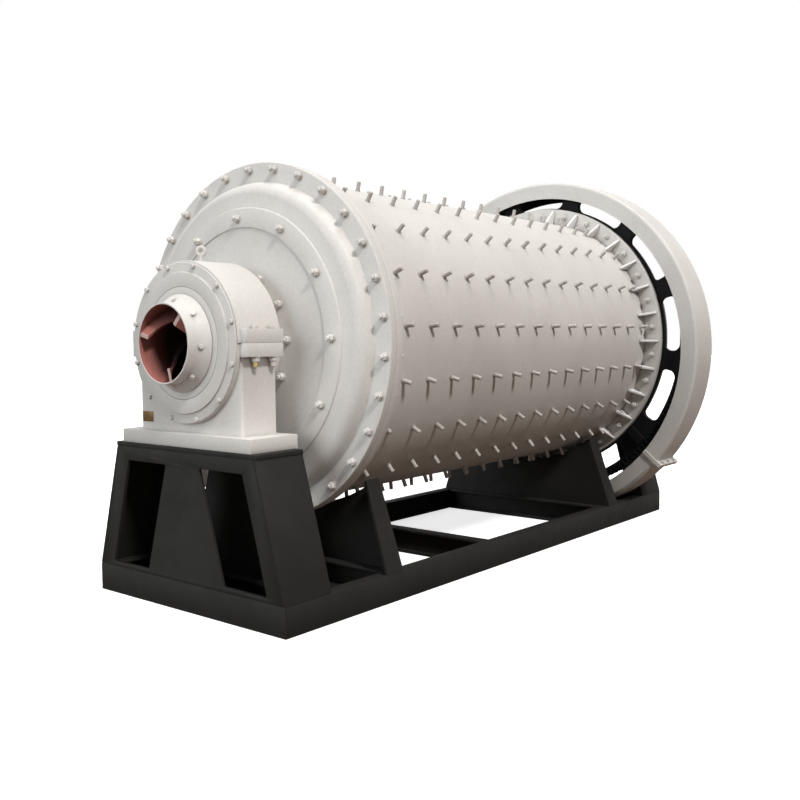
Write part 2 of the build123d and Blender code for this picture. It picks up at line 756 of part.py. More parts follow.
# Brackets that hang the guard's trough between the long beams
bracket_top = BEAM_HEIGHT - BEAM_FLANGE - BRACKET_CLEAR
bracket_bottom = BEAM_FLANGE + BRACKET_CLEAR
bracket_planes = [
    cross_plane(guard_near + BRACKET_INSET, 0),
    cross_plane(guard_far - BRACKET_INSET - BRACKET_THICKNESS, 0),
]
bracket_middle = (bracket_top + bracket_bottom) / 2
bracket_outer = base_half_width - BEAM_WEB
bracket_inner = sqrt(guard_radius**2 - (guard_height - bracket_bottom) ** 2)
with BuildPart() as guard_brackets:
    with BuildSketch(*bracket_planes):
        for sign in SIDE_SIGN.values():
            with Locations((sign * (bracket_outer + bracket_inner) / 2, bracket_middle)):
                Rectangle(bracket_outer - bracket_inner, bracket_top - bracket_bottom)
    extrude(amount=BRACKET_THICKNESS)
    with BuildSketch(cross_plane(guard_near, guard_height)):
        Circle(guard_radius + WELD_GAP)
    extrude(amount=guard_far - guard_near, mode=Mode.SUBTRACT)
write_node(guard_brackets, "guard_brackets")
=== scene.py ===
# %% [markdown]
# # Ball mill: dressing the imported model
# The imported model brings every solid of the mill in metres, already in place. This lesson softens its
# edges, paints it, sets out the bolts that hold it together and lights it as a catalogue picture.

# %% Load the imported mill
import json
import math
import random

import bmesh
import bpy
from mathutils import Matrix, Vector

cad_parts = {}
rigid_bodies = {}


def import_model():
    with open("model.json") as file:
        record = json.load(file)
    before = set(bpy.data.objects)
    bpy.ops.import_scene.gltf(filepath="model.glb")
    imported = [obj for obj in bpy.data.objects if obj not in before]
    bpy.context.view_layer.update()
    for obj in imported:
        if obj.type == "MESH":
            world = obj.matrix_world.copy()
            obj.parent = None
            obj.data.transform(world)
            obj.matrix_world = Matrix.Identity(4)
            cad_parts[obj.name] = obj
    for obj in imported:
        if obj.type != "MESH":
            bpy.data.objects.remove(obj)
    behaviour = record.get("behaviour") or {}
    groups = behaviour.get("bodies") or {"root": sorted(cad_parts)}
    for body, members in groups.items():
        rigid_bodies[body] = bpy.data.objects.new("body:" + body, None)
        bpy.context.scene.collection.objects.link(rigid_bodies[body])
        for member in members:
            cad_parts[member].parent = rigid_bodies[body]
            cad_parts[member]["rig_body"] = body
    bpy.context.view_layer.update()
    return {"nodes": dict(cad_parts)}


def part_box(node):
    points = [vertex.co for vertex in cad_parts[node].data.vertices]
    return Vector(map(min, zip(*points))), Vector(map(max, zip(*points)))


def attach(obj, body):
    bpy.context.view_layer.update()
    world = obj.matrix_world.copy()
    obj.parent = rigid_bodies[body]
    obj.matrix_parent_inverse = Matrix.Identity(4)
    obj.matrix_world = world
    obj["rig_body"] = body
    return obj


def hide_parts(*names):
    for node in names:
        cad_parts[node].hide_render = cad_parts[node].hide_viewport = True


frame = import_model()
print("nodes:", len(frame["nodes"]))

# %% [markdown]
# ## Reading the frame
# Bolts and trim have to land on real surfaces, so the few sizes they need are read from the solids
# instead of being typed again. The mill axis runs along X through the middle of the shell.

# %% Measure the drum, the guard and the bearings
shell_low, shell_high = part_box("shell")
AXIS_HEIGHT = (shell_low.z + shell_high.z) / 2
SHELL_RADIUS = (shell_high.z - shell_low.z) / 2
FLANGE_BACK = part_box("feed_shell_flange")[1].x
hood_low, hood_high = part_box("guard_hood")
GUARD_RADIUS = hood_high.y
GUARD_HEIGHT = hood_high.z - GUARD_RADIUS
CAP_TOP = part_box("feed_bearing_cap")[1].z
print("axis", round(AXIS_HEIGHT, 3), "shell", round(SHELL_RADIUS, 3), "guard", round(GUARD_RADIUS, 3))

# %% [markdown]
# ## Camera
# The camera stands about five metres from the feed end, at eye level, and looks slightly down. Its turn is
# built from three plain rotations, in the order a tripod makes them: pan, tilt, roll.

# %% Place the camera
CAMERA_PLACE = Vector((-5.2897, -4.0858, 1.4716))
CAMERA_PAN = math.radians(-50.595)
CAMERA_TILT = math.radians(90 - 3.816)
CAMERA_ROLL = math.radians(-0.558)
CAMERA_LENS = 42.36
CAMERA_SENSOR = 36
CAMERA_REACH = 200

pan = Matrix.Rotation(CAMERA_PAN, 4, "Z")
tilt = Matrix.Rotation(CAMERA_TILT, 4, "X")
roll = Matrix.Rotation(CAMERA_ROLL, 4, "Z")
camera_data = bpy.data.cameras.new("camera")
camera_data.lens = CAMERA_LENS
camera_data.sensor_width = CAMERA_SENSOR
camera_data.clip_end = CAMERA_REACH
camera = bpy.data.objects.new("camera", camera_data)
camera.matrix_world = Matrix.Translation(CAMERA_PLACE) @ pan @ tilt @ roll
bpy.context.scene.collection.objects.link(camera)
bpy.context.scene.camera = camera
bpy.context.scene.view_settings.view_transform = "Standard"
print("camera", [round(value, 3) for value in camera.location])

# %% [markdown]
# ## Floor
# The picture is a cut-out on white. The floor looks white to the camera, but it bounces and mirrors only a
# dull warm light, which is why the undersides of the drum turn brown.

# %% Make nodes and links in one line each
def add_node(material, kind, **settings):
    """Add a shader node and set its plain settings and, by name, its input values."""
    node = material.node_tree.nodes.new(kind)
    for key, value in settings.items():
        if key in node.inputs:
            node.inputs[key].default_value = value
        else:
            setattr(node, key, value)
    return node


def wire(material, start, end):
    """Link an output socket to an input socket."""
    material.node_tree.links.new(start, end)


# %% Lay the floor
def deselect():
    """Clear the selection, so that an operator touches only what comes next."""
    bpy.ops.object.select_all(action="DESELECT")


def seen_directly(material, in_mirrors):
    """Factor that is 1 for rays from the camera, glass and, if asked, mirrors, and 0 for other light."""
    path = add_node(material, "ShaderNodeLightPath")
    direct = add_node(material, "ShaderNodeMath", operation="MAXIMUM")
    wire(material, path.outputs["Is Camera Ray"], direct.inputs[0])
    wire(material, path.outputs["Is Transmission Ray"], direct.inputs[1])
    if not in_mirrors:
        return direct.outputs[0]
    mirrored = add_node(material, "ShaderNodeMath", operation="MAXIMUM")
    wire(material, direct.outputs[0], mirrored.inputs[0])
    wire(material, path.outputs["Is Glossy Ray"], mirrored.inputs[1])
    return mirrored.outputs[0]


WHITE = (1, 1, 1, 1)
FLOOR_PALE = (0.9, 0.9, 0.9, 1)
FLOOR_BOUNCE = (0.10, 0.070, 0.052, 1)
FLOOR_GLOW = 0.72
FLOOR_ROUGHNESS = 0.9
FLOOR_SIZE = 120
FLOOR_DROP = 0.002

floor_paper = bpy.data.materials.new("floor_paper")
floor_paper.use_nodes = True
paper_shader = floor_paper.node_tree.nodes["Principled BSDF"]
paper_shader.inputs["Roughness"].default_value = FLOOR_ROUGHNESS
paper_tone = add_node(floor_paper, "ShaderNodeMix", data_type="RGBA")
paper_tone.inputs["A"].default_value = FLOOR_BOUNCE
paper_tone.inputs["B"].default_value = FLOOR_PALE
direct = seen_directly(floor_paper, in_mirrors=False)
wire(floor_paper, direct, paper_tone.inputs["Factor"])
wire(floor_paper, paper_tone.outputs["Result"], paper_shader.inputs["Base Color"])
paper_shader.inputs["Emission Color"].default_value = WHITE
paper_glow = add_node(floor_paper, "ShaderNodeMath", operation="MULTIPLY")
paper_glow.inputs[1].default_value = FLOOR_GLOW
wire(floor_paper, direct, paper_glow.inputs[0])
wire(floor_paper, paper_glow.outputs[0], paper_shader.inputs["Emission Strength"])

deselect()
bpy.ops.mesh.primitive_plane_add(size=FLOOR_SIZE, location=(0, 0, -FLOOR_DROP))
floor = bpy.context.object
floor.name = "floor"
floor.data.materials.append(floor_paper)
print("floor laid")

# %% [markdown]
# ## Light
# A broad roof light falls straight down on the drum. A window across the workshop shines lower and sharper,
# and it leaves a streak of shadow under every stud. The open door at the feed end lights the heads from the
# side, and a small soft lamp lifts the front of the feed bearing. The world adds only a little, so that the
# drum's underside stays dark.

# %% Light the mill
def add_sun(name, origin, energy, spread, colour):
    """Sun that shines from a direction; its disc's spread in degrees softens the shadows."""
    data = bpy.data.lights.new(name, "SUN")
    data.energy = energy
    data.angle = math.radians(spread)
    data.color = colour
    lamp = bpy.data.objects.new(name, data)
    lamp.rotation_mode = "QUATERNION"
    lamp.rotation_quaternion = Vector(origin).to_track_quat("Z", "Y")
    bpy.context.scene.collection.objects.link(lamp)


add_sun("roof_light", origin=(0, -0.08, 1), energy=1.95, spread=36, colour=(1, 0.98, 0.955))
add_sun("side_window", origin=(-0.34, -0.95, 1), energy=2.25, spread=9, colour=(1, 0.98, 0.95))
add_sun("open_door", origin=(-1, 0.26, 0.30), energy=1.62, spread=38, colour=(0.90, 0.97, 1))

BEARING_LAMP = Vector((-2.5, -2.6, 1.75))
BEARING_AIM = Vector((-1.98, -0.43, 1.25))
LAMP_POWER = 0.6
LAMP_SIZE = 0.8
LAMP_SPREAD = math.radians(42)
SKY_DIM = (0.050, 0.043, 0.037, 1)

lamp_data = bpy.data.lights.new("bearing_lamp", "AREA")
lamp_data.energy = LAMP_POWER
lamp_data.size = LAMP_SIZE
lamp_data.spread = LAMP_SPREAD
bearing_lamp = bpy.data.objects.new("bearing_lamp", lamp_data)
bearing_lamp.location = BEARING_LAMP
bearing_lamp.rotation_mode = "QUATERNION"
bearing_lamp.rotation_quaternion = (BEARING_LAMP - BEARING_AIM).to_track_quat("Z", "Y")
bpy.context.scene.collection.objects.link(bearing_lamp)

world = bpy.data.worlds.new("studio")
bpy.context.scene.world = world
world.use_nodes = True
sky = world.node_tree.nodes["Background"]
sky_tone = add_node(world, "ShaderNodeMix", data_type="RGBA")
sky_tone.inputs["A"].default_value = SKY_DIM
sky_tone.inputs["B"].default_value = WHITE
wire(world, seen_directly(world, in_mirrors=True), sky_tone.inputs["Factor"])
wire(world, sky_tone.outputs["Result"], sky.inputs["Color"])

# %% [markdown]
# ## Paint
# Sprayed machine paint is never one colour: it drifts in tone over a hand's width, is speckled close up and
# has the skin of an orange. Closed-in spots, such as corners and the feet of bolts, get painted shade that
# follows how closed in a spot is, and the rest is noise on the object's own coordinates. The same recipe
# with other numbers paints the drum, the frame and the gear. Inside the tubes the primer also takes painted
# shade that deepens from the mouth.

# %% Mix a paint
SPECKLE_WEAR = 0.12
# Painted shade in closed-in spots: rays that judge how open a spot is, the openness over which the shade
# fades, and how far the dark tone is mixed in.
CORNER_SAMPLES = 6
CORNER_OPEN = (0.35, 0.9)
PAINTED_CORNER_SHADE = (0.5, 0)
PEEL_DEPTH = 0.002


def mix_colours(material, factor, first, second):
    """Blend two colours or colour sockets by a factor socket and give the result's socket."""
    mix = add_node(material, "ShaderNodeMix", data_type="RGBA")
    if isinstance(factor, float):
        mix.inputs["Factor"].default_value = factor
    else:
        wire(material, factor, mix.inputs["Factor"])
    for name, value in (("A", first), ("B", second)):
        if isinstance(value, tuple):
            mix.inputs[name].default_value = value
        else:
            wire(material, value, mix.inputs[name])
    return mix.outputs["Result"]


def remap(material, value, source, target=(0, 1)):
    """Carry a value socket from one range to another."""
    ranges = add_node(material, "ShaderNodeMapRange")
    for name, limit in zip(("From Min", "From Max", "To Min", "To Max"), (*source, *target)):
        ranges.inputs[name].default_value = limit
    wire(material, value, ranges.inputs["Value"])
    return ranges.outputs["Result"]


def noise(material, place, scale, detail, low, high):
    """Noise at a scale, stretched so that low to high becomes 0 to 1."""
    texture = add_node(material, "ShaderNodeTexNoise", Scale=scale, Detail=detail)
    wire(material, place, texture.inputs["Vector"])
    return remap(material, texture.outputs["Fac"], (low, high))


def shade_by_depth(material, place, colour, deep, mouth, inside):
    """Paint shade into a colour: it turns into a deep one from the tubes' mouths inwards, where less light
    reaches.
    """
    apart = add_node(material, "ShaderNodeSeparateXYZ")
    wire(material, place, apart.inputs[0])
    distance = add_node(material, "ShaderNodeMath", operation="ABSOLUTE")
    wire(material, apart.outputs["X"], distance.inputs[0])
    depth = remap(material, distance.outputs[0], (mouth, inside))
    return mix_colours(material, depth, colour, deep)


def paint(name, light, dark, dirt_and_shade, shade_reach, rough, peel, sheen=0.5, depth_shade=None):
    """Sprayed paint in two tones, with painted shade in closed-in spots and an orange-peel bump."""
    material = bpy.data.materials.new(name)
    material.use_nodes = True
    shader = material.node_tree.nodes["Principled BSDF"]
    shader.inputs["Specular IOR Level"].default_value = sheen
    place = add_node(material, "ShaderNodeTexCoord").outputs["Object"]
    drift = noise(material, place, scale=2.2, detail=5, low=0.34, high=0.68)
    speckle = noise(material, place, scale=60, detail=3, low=0.30, high=0.75)
    patches = noise(material, place, scale=9, detail=4, low=0.3, high=0.7)
    pores = noise(material, place, scale=45, detail=4, low=0.2, high=0.8)
    tone = mix_colours(material, drift, light, dark)
    worn = mix_colours(material, speckle, tone, mix_colours(material, SPECKLE_WEAR, tone, dirt_and_shade))
    # Painted shade: the ambient-occlusion node darkens closed-in spots, such as corners and the feet of
    # bolts.
    corner = add_node(material, "ShaderNodeAmbientOcclusion", samples=CORNER_SAMPLES, Distance=shade_reach)
    shade = remap(material, corner.outputs["AO"], CORNER_OPEN, PAINTED_CORNER_SHADE)
    colour = mix_colours(material, shade, worn, dirt_and_shade)
    # Painted shade: inside a tube the colour darkens from the mouth inwards.
    if depth_shade:
        colour = shade_by_depth(material, place, colour, dirt_and_shade, *depth_shade)
    wire(material, colour, shader.inputs["Base Color"])
    wire(material, remap(material, patches, (0, 1), rough), shader.inputs["Roughness"])
    skin = add_node(material, "ShaderNodeBump", Strength=peel, Distance=PEEL_DEPTH)
    wire(material, pores, skin.inputs["Height"])
    wire(material, skin.outputs["Normal"], shader.inputs["Normal"])
    return material


# %% Paint pots
# Painted shade inside the tubes: distances along the axis from the middle, where it begins at the mouths
# and where it is full.
MOUTH_SHADE_DEPTHS = (2.25, 2.08)

mill_grey = paint(
    "mill_grey",
    light=(0.68, 0.66, 0.635, 1),
    dark=(0.62, 0.60, 0.575, 1),
    dirt_and_shade=(0.22, 0.19, 0.17, 1),
    shade_reach=0.03,
    rough=(0.42, 0.56),
    peel=0.04,
    sheen=0.35,
)
bolt_grey = paint(
    "bolt_grey",
    light=(0.70, 0.68, 0.655, 1),
    dark=(0.62, 0.595, 0.565, 1),
    dirt_and_shade=(0.30, 0.27, 0.24, 1),
    shade_reach=0.005,
    rough=(0.42, 0.56),
    peel=0.02,
    sheen=0.35,
)
# The studs' paint is darker than the bolts': partly the grey-brown of bare threads, partly painted shade
# standing in for their shaded sides.
stud_grey = paint(
    "stud_grey",
    light=(0.60, 0.575, 0.545, 1),
    dark=(0.46, 0.43, 0.40, 1),
    dirt_and_shade=(0.20, 0.17, 0.15, 1),
    shade_reach=0.015,
    rough=(0.45, 0.6),
    peel=0.02,
    sheen=0.3,
)
# On the black frame the closed-in tone is a touch lighter than the paint, so its corners are lifted by
# painted light rather than darkened.
frame_black = paint(
    "frame_black",
    light=(0.0220, 0.0215, 0.0205, 1),
    dark=(0.0175, 0.0170, 0.0165, 1),
    dirt_and_shade=(0.0260, 0.0250, 0.0240, 1),
    shade_reach=0.05,
    rough=(0.62, 0.8),
    peel=0.10,
    sheen=0.15,
)
gear_black = paint(
    "gear_black",
    light=(0.010, 0.010, 0.011, 1),
    dark=(0.006, 0.006, 0.007, 1),
    dirt_and_shade=(0.004, 0.004, 0.004, 1),
    shade_reach=0.03,
    rough=(0.62, 0.78),
    peel=0.12,
    sheen=0.12,
)
# The primer's dark tone is painted shade, deep in the tubes and in closed-in spots, and real wear in its
# speckles.
primer_red = paint(
    "primer_red",
    light=(0.47, 0.18, 0.15, 1),
    dark=(0.35, 0.13, 0.11, 1),
    dirt_and_shade=(0.02, 0.010, 0.010, 1),
    shade_reach=0.12,
    rough=(0.6, 0.8),
    peel=0.08,
    sheen=0.2,
    depth_shade=MOUTH_SHADE_DEPTHS,
)
primer_worn = paint(
    "primer_worn",
    light=(0.60, 0.47, 0.44, 1),
    dark=(0.50, 0.34, 0.31, 1),
    dirt_and_shade=(0.20, 0.11, 0.10, 1),
    shade_reach=0.01,
    rough=(0.6, 0.8),
    peel=0.08,
    sheen=0.2,
)
liner_steel = paint(
    "liner_steel",
    light=(0.11, 0.10, 0.095, 1),
    dark=(0.07, 0.06, 0.055, 1),
    dirt_and_shade=(0.03, 0.025, 0.02, 1),
    shade_reach=0.06,
    rough=(0.5, 0.7),
    peel=0.25,
)
print("paints mixed:", len(bpy.data.materials))

# %% [markdown]
# ## Metals
# Two fittings are bare metal: the yellow zinc of some bearing bolts and the brass of the small plate.
# Brushed or plated metal shows itself by uneven roughness more than by colour.

# %% Plate and cast the metals
METAL_SHARE = 0.85


def bare_metal(name, light, dark, rough):
    """Metal whose tone and polish drift over its surface."""
    material = bpy.data.materials.new(name)
    material.use_nodes = True
    shader = material.node_tree.nodes["Principled BSDF"]
    shader.inputs["Metallic"].default_value = METAL_SHARE
    place = add_node(material, "ShaderNodeTexCoord").outputs["Object"]
    drift = noise(material, place, scale=40, detail=4, low=0.3, high=0.7)
    polish = noise(material, place, scale=120, detail=3, low=0.3, high=0.7)
    wire(material, mix_colours(material, drift, light, dark), shader.inputs["Base Color"])
    wire(material, remap(material, polish, (0, 1), rough), shader.inputs["Roughness"])
    return material


zinc = bare_metal(
    "yellow_zinc",
    light=(0.48, 0.39, 0.19, 1),
    dark=(0.36, 0.28, 0.12, 1),
    rough=(0.4, 0.55),
)
brass = bare_metal(
    "plate_brass",
    light=(0.21, 0.125, 0.050, 1),
    dark=(0.14, 0.082, 0.032, 1),
    rough=(0.4, 0.55),
)
print("metals:", zinc.name, brass.name)

# %% [markdown]
# ## Softened castings and plates
# No edge on a real casting is sharp, and a thin highlight along each edge is what makes it look solid. A
# copy of each solid is merged, its flat areas are cleared of needless edges, and a Bevel modifier with an
# angle limit rounds only the true corners. The hollow edge of each saddle is lifted before that.

# %% Soften a copy of a solid
MERGE_DISTANCE = 0.00005
FLAT_ANGLE = math.radians(0.5)
EDGE_ANGLE = math.radians(35)
EDGE_STEPS = 2
EDGE_SMOOTH = math.radians(32)


def activate(thing):
    """Make one object the only selected and the active one."""
    deselect()
    thing.select_set(True)
    bpy.context.view_layer.objects.active = thing


def merged_copy(node, clear_flats=True):
    """Copy a solid's mesh into a new object, merge its loose triangles and clear its flat areas."""
    piece = bpy.data.objects.new(f"{node}_dressed", frame["nodes"][node].data.copy())
    bpy.context.scene.collection.objects.link(piece)
    activate(piece)
    bpy.ops.object.mode_set(mode="EDIT")
    bpy.ops.mesh.select_all(action="SELECT")
    bpy.ops.mesh.customdata_custom_splitnormals_clear()
    bpy.ops.mesh.remove_doubles(threshold=MERGE_DISTANCE)
    if clear_flats:
        bpy.ops.mesh.dissolve_limited(angle_limit=FLAT_ANGLE)
    bpy.ops.object.mode_set(mode="OBJECT")
    return piece


def round_edges(piece, width):
    """Round the sharp corners by a Bevel modifier and apply it."""
    activate(piece)
    bevel = piece.modifiers.new("edge", "BEVEL")
    bevel.width = width
    bevel.segments = EDGE_STEPS
    bevel.limit_method = "ANGLE"
    bevel.angle_limit = EDGE_ANGLE
    bevel.use_clamp_overlap = False
    bpy.ops.object.modifier_apply(modifier=bevel.name)
    bpy.ops.object.shade_smooth_by_angle(angle=EDGE_SMOOTH)


def finish_piece(piece, node, material):
    """Give a dressed copy its material, and let it ride in place of its solid."""
    piece.data.materials.clear()
    piece.data.materials.append(material)
    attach(piece, frame["nodes"][node]["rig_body"])
    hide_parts(node)
    return piece


# %% Which rounding goes on which solid
BRACKET_EDGE = 0.002
CASTING_EDGE = 0.0025
PLATE_EDGE = 0.003
LONG_BEAM_EDGE = 0.004

dressing = {
    "guard_brackets": (BRACKET_EDGE, frame_black, "black_paint"),
    "front_long_beam": (LONG_BEAM_EDGE, frame_black, "black_paint"),
    "rear_long_beam": (LONG_BEAM_EDGE, frame_black, "black_paint"),
    "mid_beam": (PLATE_EDGE, frame_black, "black_paint"),
}
for end in ("feed", "drive"):
    dressing[f"{end}_bearing_pedestal"] = (CASTING_EDGE, mill_grey, "grey_paint")
    dressing[f"{end}_bearing_cap"] = (CASTING_EDGE, mill_grey, "grey_paint")
    for name in ("outer_panel", "inner_panel", "front_side", "rear_side", "top"):
        dressing[f"{end}_stand_{name}"] = (PLATE_EDGE, frame_black, "black_paint")
    for name in ("end_beam", "stand_beam", "saddle_beam", "saddle"):
        dressing[f"{end}_{name}"] = (PLATE_EDGE, frame_black, "black_paint")

# %% Raise the saddles and soften the solids
SADDLE_GAP = 0.100
SADDLE_RISE = 0.062
ARC_SLACK = 0.002


def raise_arc(piece):
    """Lift the hollow edge of a saddle, so that it stands closer under the shell."""
    bpy.ops.object.mode_set(mode="EDIT")
    bpy.ops.mesh.select_all(action="DESELECT")
    shape = bmesh.from_edit_mesh(piece.data)
    for corner in shape.verts:
        reach = math.hypot(corner.co.y, corner.co.z - AXIS_HEIGHT)
        corner.select = abs(reach - SHELL_RADIUS - SADDLE_GAP) < ARC_SLACK
    bmesh.update_edit_mesh(piece.data)
    bpy.ops.transform.translate(value=(0, 0, SADDLE_RISE))
    bpy.ops.object.mode_set(mode="OBJECT")


dressed = {}
for node, (width, material, slot) in dressing.items():
    piece = merged_copy(node)
    if node.endswith("_saddle"):
        raise_arc(piece)
    round_edges(piece, width)
    dressed[node] = finish_piece(piece, node, material)
print("softened", len(dressed), "solids")

# %% [markdown]
# ## Turned pieces
# Flanges, heads, journals, tubes and covers come off a lathe. Each is cut by the upright plane through the
# axis, the corners of the upper outline are rounded as points, and that outline is spun about the axis.
# So the rings are even all the way round, whatever triangles the solid had.

# %% Spin an outline with rounded corners
SPIN_STEPS = 144
CORNER_TURN = math.radians(25)
OUTLINE_MERGE = 0.0001
OUTLINE_FLAT = math.radians(1)
ROUNDING_STEPS = 3
TURNED_SMOOTH = math.radians(35)


def upper_outline(node):
    """Cut a copy of a turned solid along the axis and leave its upper outline as a face, in edit mode."""
    piece = merged_copy(node, clear_flats=False)
    bpy.ops.object.mode_set(mode="EDIT")
    bpy.ops.mesh.select_all(action="SELECT")
    bpy.ops.mesh.bisect(
        plane_co=(0, 0, AXIS_HEIGHT),
        plane_no=(0, 1, 0),
        clear_inner=True,
        clear_outer=True,
    )
    bpy.ops.mesh.select_all(action="DESELECT")
    shape = bmesh.from_edit_mesh(piece.data)
    for corner in shape.verts:
        corner.select = corner.co.z < AXIS_HEIGHT
    shape.select_flush(True)
    bmesh.update_edit_mesh(piece.data)
    bpy.ops.mesh.delete(type="VERT")
    bpy.ops.mesh.select_all(action="SELECT")
    bpy.ops.mesh.remove_doubles(threshold=OUTLINE_MERGE)
    bpy.ops.mesh.edge_face_add()
    bpy.ops.mesh.dissolve_limited(angle_limit=OUTLINE_FLAT)
    return piece


def turned_copy(node, rounding):
    """Round the corners of a turned solid's outline and spin it about the mill axis."""
    piece = upper_outline(node)
    bpy.ops.mesh.select_all(action="DESELECT")
    shape = bmesh.from_edit_mesh(piece.data)
    for corner in shape.verts:
        before, after = (edge.other_vert(corner).co - corner.co for edge in corner.link_edges)
        corner.select = math.pi - before.angle(after) > CORNER_TURN
    bmesh.update_edit_mesh(piece.data)
    bpy.ops.mesh.bevel(offset=rounding, segments=ROUNDING_STEPS, affect="VERTICES")
    bpy.ops.mesh.select_all(action="SELECT")
    bpy.ops.mesh.delete(type="ONLY_FACE")
    bpy.ops.mesh.select_all(action="SELECT")
    bpy.ops.mesh.spin(steps=SPIN_STEPS, angle=math.tau, center=(0, 0, AXIS_HEIGHT), axis=(1, 0, 0))
    bpy.ops.mesh.select_all(action="SELECT")
    bpy.ops.mesh.remove_doubles(threshold=MERGE_DISTANCE)
    bpy.ops.mesh.normals_make_consistent(inside=False)
    bpy.ops.object.mode_set(mode="OBJECT")
    bpy.ops.object.shade_smooth_by_angle(angle=TURNED_SMOOTH)
    return piece


# %% Turn the rings
turned_rounding = {
    "feed_shell_flange": 0.004,
    "drive_shell_flange": 0.003,
    "feed_head": 0.004,
    "drive_head": 0.004,
    "feed_trunnion": 0.003,
    "drive_trunnion": 0.003,
    "feed_tube": 0.003,
    "discharge_tube": 0.003,
    "feed_bearing_cover": 0.003,
    "drive_bearing_cover": 0.003,
}
for node, rounding in turned_rounding.items():
    dressed[node] = finish_piece(turned_copy(node, rounding), node, mill_grey)
    print(node, "faces", len(dressed[node].data.polygons))

# %% [markdown]
# ## Gussets on the drive flange
# Thirty small brackets brace the drive flange against the shell. One is cut from a block by a slanting
# plane, and its copies are joined to the spun flange.

# %% Blocks, and copies of a master piece
def join_pieces(pieces, name):
    """Join objects into one and name it."""
    deselect()
    for piece in pieces:
        piece.select_set(True)
    bpy.context.view_layer.objects.active = pieces[0]
    bpy.ops.object.join()
    joined = bpy.context.object
    joined.name = name
    joined.data.name = name
    return joined


def copies_at(master, name, places):
    """Copies of a master object, each moved into its place."""
    copies = []
    for place in places:
        copy = bpy.data.objects.new(name, master.data.copy())
        bpy.context.scene.collection.objects.link(copy)
        copy.data.transform(place)
        copies.append(copy)
    return copies


def add_block(middle, size):
    """Plain block around a middle, with its place in its mesh."""
    deselect()
    bpy.ops.mesh.primitive_cube_add(size=1, location=middle)
    block = bpy.context.object
    block.scale = size
    bpy.ops.object.transform_apply(location=True, rotation=True, scale=True)
    return block


def about_axis(turn):
    """Turn about the mill axis, in degrees from the top."""
    middle = Matrix.Translation((0, 0, AXIS_HEIGHT))
    return middle @ Matrix.Rotation(math.radians(turn), 4, "X") @ middle.inverted()


# %% Cut a gusset and set it out
GUSSET_COUNT = 30
GUSSET_LENGTH = 0.100
GUSSET_REACH = 0.110
GUSSET_THICKNESS = 0.016
GUSSET_TIP = 0.012
GUSSET_ROOT = 0.0017
GUSSET_EDGE = 0.0015
GUSSET_PHASE = 1.4

drive_back = -FLANGE_BACK
gusset_foot = AXIS_HEIGHT + SHELL_RADIUS + GUSSET_ROOT
slope = Vector((GUSSET_TIP - GUSSET_REACH, 0, GUSSET_LENGTH - GUSSET_TIP))
gusset = add_block(
    middle=(drive_back - GUSSET_LENGTH / 2, 0, gusset_foot + GUSSET_REACH / 2),
    size=(GUSSET_LENGTH, GUSSET_THICKNESS, GUSSET_REACH),
)
bpy.ops.object.mode_set(mode="EDIT")
bpy.ops.mesh.select_all(action="SELECT")
bpy.ops.mesh.bisect(
    plane_co=(drive_back - GUSSET_LENGTH, 0, gusset_foot + GUSSET_TIP),
    plane_no=slope,
    use_fill=True,
    clear_outer=True,
)
bpy.ops.object.mode_set(mode="OBJECT")
round_edges(gusset, GUSSET_EDGE)
turns = [GUSSET_PHASE - 90 + index * 360 / GUSSET_COUNT for index in range(GUSSET_COUNT)]
gussets = copies_at(gusset, "gusset", [about_axis(turn) for turn in turns])
bpy.data.objects.remove(gusset)
join_pieces([dressed["drive_shell_flange"]] + gussets, "drive_shell_flange_dressed")
bpy.context.view_layer.update()
print("gussets", len(gussets))

# %% [markdown]
# ## Gear web
# The slots in the gear's web reach almost to the flange. The inner part of each slot's edge is picked by
# its distance from the axis and drawn inwards, which leaves only a thin dark ring around the flange.

# %% Draw the slots inwards
SLOT_PICK = (0.020, 0.090)
SLOT_DRAW = 0.982
WEB_DEPTH = 0.045
GEAR_SMOOTH = math.radians(30)

flange_low, flange_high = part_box("drive_shell_flange")
flange_radius = (flange_high.z - flange_low.z) / 2
gear = merged_copy("girth_gear", clear_flats=False)
bpy.ops.object.mode_set(mode="EDIT")
bpy.ops.mesh.select_all(action="DESELECT")
shape = bmesh.from_edit_mesh(gear.data)
for corner in shape.verts:
    beyond = math.hypot(corner.co.y, corner.co.z - AXIS_HEIGHT) - flange_radius
    in_web = abs(corner.co.x - flange_high.x) < WEB_DEPTH
    corner.select = in_web and SLOT_PICK[0] < beyond < SLOT_PICK[1]
drawn = sum(corner.select for corner in shape.verts)
bmesh.update_edit_mesh(gear.data)
bpy.ops.transform.resize(value=(1, SLOT_DRAW, SLOT_DRAW), center_override=(0, 0, AXIS_HEIGHT))
bpy.ops.object.mode_set(mode="OBJECT")
bpy.ops.object.shade_smooth_by_angle(angle=GEAR_SMOOTH)
dressed["girth_gear"] = finish_piece(gear, "girth_gear", gear_black)
print("slot corners drawn inwards:", drawn)

# %% [markdown]
# ## Solids that stay as they are
# The shell, its liner, the feed spiral and the bent plates of the gear guard already have the right shape,
# so they only change their material. The faces inside the guard, turned towards its core, are painted
# black.

# %% Paint the remaining solids
def repaint(node, material):
    """Put one material on a solid of the frame."""
    mesh = frame["nodes"][node].data
    mesh.materials.clear()
    mesh.materials.append(material)
    return mesh


GUARD_HALF_DEPTH = 0.07
GUARD_MIDDLE = (hood_low.x + hood_high.x) / 2
GUARD_CORE = Vector((GUARD_MIDDLE, GUARD_RADIUS - GUARD_HALF_DEPTH))
FACING_CORE = 0.35

repaint("shell", mill_grey)
repaint("shell_liner", liner_steel)
blacked = 0
